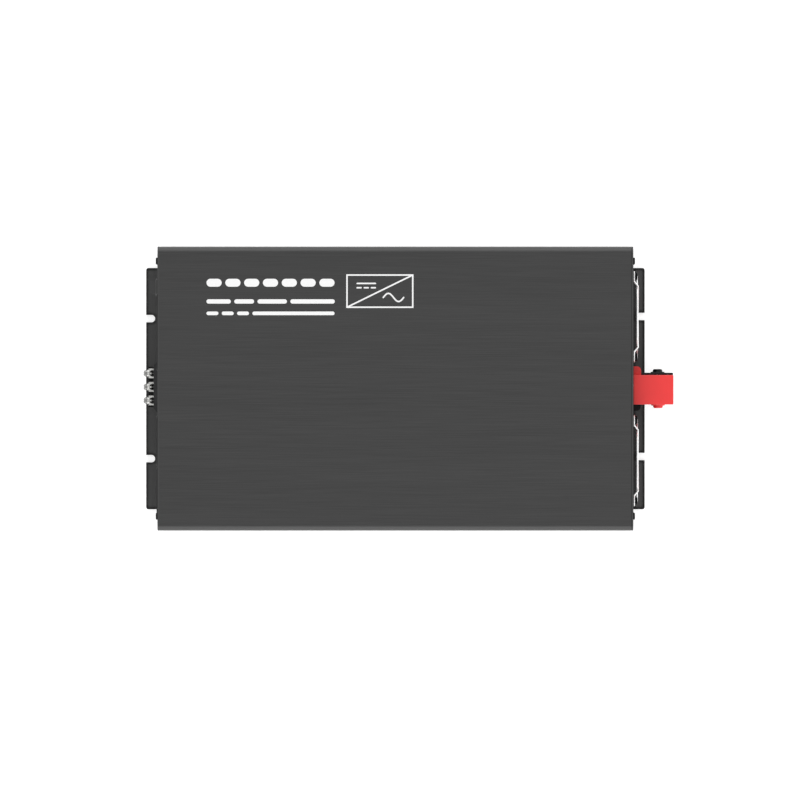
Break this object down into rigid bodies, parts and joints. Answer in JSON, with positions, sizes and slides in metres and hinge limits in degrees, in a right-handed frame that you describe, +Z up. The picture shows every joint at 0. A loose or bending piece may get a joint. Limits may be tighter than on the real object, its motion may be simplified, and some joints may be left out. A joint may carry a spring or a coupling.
{
  "type": "power inverter",
  "caption": "Box-shaped power inverter with finned case, slotted mounting flanges, battery terminals and fans at one end, mains sockets at the other.",
  "frame": {"origin": "centre of the base plate's underside", "axes": "+X towards the battery terminals, +Y towards the switch side, +Z up"},
  "size_m": [0.4684, 0.2508, 0.106],
  "materials": {
    "shell_anodised": "dark grey, brushed along the length and anodised",
    "sheet_powder": "dark grey satin powder coat",
    "black_screw": "black oxide",
    "bright_screw": "zinc plated",
    "nickel": "nickel plated",
    "guard_wire": "bright plated wire",
    "fan_plastic": "glass-filled, black",
    "red_plastic": "moulded, satin",
    "black_plastic": "moulded, satin",
    "switch_plastic": "moulded, satin",
    "brass": "machined",
    "copper": "bare or enamelled copper",
    "display_glass": "smoked window",
    "display_cell": "liquid crystal cell",
    "light_green": "tinted, clear",
    "board": "glass-epoxy board",
    "ferrite": "sintered",
    "bobbin": "moulded",
    "capacitor_sleeve": "shrunk sleeve",
    "film_capacitor": "moulded box",
    "sink_aluminium": "extruded, plain",
    "transistor_epoxy": "moulded",
    "fuse_plastic": "tinted",
    "wire_sleeve": "flexible sleeve"
  },
  "bodies": {
    "case": {"upper_shell": "shell_anodised", "base_plate": "sheet_powder", "front_panel": "sheet_powder", "rear_panel": "sheet_powder", "end_panel_screws": "black_screw", "base_screws": "black_screw", "fan_frames": "fan_plastic", "fan_stators": "copper", "fan_guards": "guard_wire", "fan_screws": "black_screw", "fan_leads": "wire_sleeve", "terminal_blocks": "brass", "terminal_cover_screws": "black_screw", "terminal_nuts": "bright_screw", "busbars": "copper", "positive_terminal_cover": "red_plastic", "negative_terminal_cover": "black_plastic", "switch_housing": "switch_plastic", "switch_tabs": "brass", "mains_block": "black_plastic", "mains_contacts": "nickel", "display_bezel": "black_plastic", "display_window": "display_glass", "display_module": "display_cell", "usb_charger": "black_plastic", "status_lights": "light_green", "socket_bodies": "black_plastic", "socket_contacts": "brass", "main_board": "board", "board_standoffs": "brass", "board_screws": "bright_screw", "transformer_cores": "ferrite", "transformer_bobbins": "bobbin", "transformer_windings": "copper", "input_capacitors": "capacitor_sleeve", "bulk_capacitors": "capacitor_sleeve", "heat_sinks": "sink_aluminium", "power_transistors": "transistor_epoxy", "output_choke": "copper", "filter_capacitors": "film_capacitor", "control_board": "board", "blade_fuses": "fuse_plastic", "mains_wires": "wire_sleeve"},
    "rocker": {"switch_rocker": "switch_plastic"},
    "left_rotor": {"left_fan_rotor": "fan_plastic"},
    "right_rotor": {"right_fan_rotor": "fan_plastic"},
    "positive_plug": {"positive_screw_plug": "red_plastic"},
    "negative_plug": {"negative_screw_plug": "black_plastic"},
    "positive_pad": {"positive_pressure_pad": "bright_screw"},
    "positive_screw": {"positive_clamp_screw": "bright_screw"},
    "negative_pad": {"negative_pressure_pad": "bright_screw"},
    "negative_screw": {"negative_clamp_screw": "bright_screw"},
    "live_plate": {"live_clamp_plate": "nickel"},
    "live_bolt": {"live_screw": "nickel"},
    "neutral_plate": {"neutral_clamp_plate": "nickel"},
    "neutral_bolt": {"neutral_screw": "nickel"},
    "earth_plate": {"earth_clamp_plate": "nickel"},
    "earth_bolt": {"earth_screw": "nickel"},
    "inner_shutter": {"inner_socket_shutter": "black_plastic"},
    "outer_shutter": {"outer_socket_shutter": "black_plastic"}
  },
  "joints": [
    {"name": "power_switch", "type": "hinge", "parent": "case", "child": "rocker", "pos_m": [-0.2085, 0.0896, 0.03], "axis": [0, 1, 0], "range_deg": [0, 22]},
    {"name": "left_fan_spin", "type": "hinge", "parent": "case", "child": "left_rotor", "pos_m": [0.1962, 0.0635, 0.054], "axis": [1, 0, 0], "continuous": true},
    {"name": "right_fan_spin", "type": "hinge", "parent": "case", "child": "right_rotor", "pos_m": [0.1962, -0.0635, 0.054], "axis": [1, 0, 0], "continuous": true},
    {"name": "positive_plug_pull", "type": "slide", "parent": "case", "child": "positive_plug", "axis": [0, -1, 0], "range_m": [0, 0.015]},
    {"name": "positive_pad_press", "type": "slide", "parent": "case", "child": "positive_pad", "axis": [0, 1, 0], "range_m": [0, 0.005]},
    {"name": "positive_clamp_turn", "type": "hinge", "parent": "positive_pad", "child": "positive_screw", "pos_m": [0.2319, 0, 0.076], "axis": [0, 1, 0], "range_deg": [0, 1440]},
    {"name": "negative_plug_pull", "type": "slide", "parent": "case", "child": "negative_plug", "axis": [0, 1, 0], "range_m": [0, 0.015]},
    {"name": "negative_pad_press", "type": "slide", "parent": "case", "child": "negative_pad", "axis": [0, -1, 0], "range_m": [0, 0.005]},
    {"name": "negative_clamp_turn", "type": "hinge", "parent": "negative_pad", "child": "negative_screw", "pos_m": [0.2319, 0, 0.03], "axis": [0, -1, 0], "range_deg": [0, 1440]},
    {"name": "live_plate_lift", "type": "slide", "parent": "case", "child": "live_plate", "axis": [-1, 0, 0], "range_m": [0, 0.00245]},
    {"name": "live_screw_turn", "type": "hinge", "parent": "live_plate", "child": "live_bolt", "pos_m": [-0.215, 0.0135, 0.03], "axis": [-1, 0, 0], "range_deg": [0, 1260]},
    {"name": "neutral_plate_lift", "type": "slide", "parent": "case", "child": "neutral_plate", "axis": [-1, 0, 0], "range_m": [0, 0.00245]},
    {"name": "neutral_screw_turn", "type": "hinge", "parent": "neutral_plate", "child": "neutral_bolt", "pos_m": [-0.215, 0.0015, 0.03], "axis": [-1, 0, 0], "range_deg": [0, 1260]},
    {"name": "earth_plate_lift", "type": "slide", "parent": "case", "child": "earth_plate", "axis": [-1, 0, 0], "range_m": [0, 0.00245]},
    {"name": "earth_screw_turn", "type": "hinge", "parent": "earth_plate", "child": "earth_bolt", "pos_m": [-0.215, -0.0105, 0.03], "axis": [-1, 0, 0], "range_deg": [0, 1260]},
    {"name": "inner_shutter_slide", "type": "slide", "parent": "case", "child": "inner_shutter", "axis": [0, 1, 0], "range_m": [0, 0.0034]},
    {"name": "outer_shutter_slide", "type": "slide", "parent": "case", "child": "outer_shutter", "axis": [0, 1, 0], "range_m": [0, 0.0034]}
  ],
  "couplings": [
    {"joint": "positive_clamp_turn", "follows": "positive_pad_press", "rad_per_m": 5026.5},
    {"joint": "negative_clamp_turn", "follows": "negative_pad_press", "rad_per_m": 5026.5},
    {"joint": "live_screw_turn", "follows": "live_plate_lift", "rad_per_m": 8976},
    {"joint": "neutral_screw_turn", "follows": "neutral_plate_lift", "rad_per_m": 8976},
    {"joint": "earth_screw_turn", "follows": "earth_plate_lift", "rad_per_m": 8976}
  ]
}
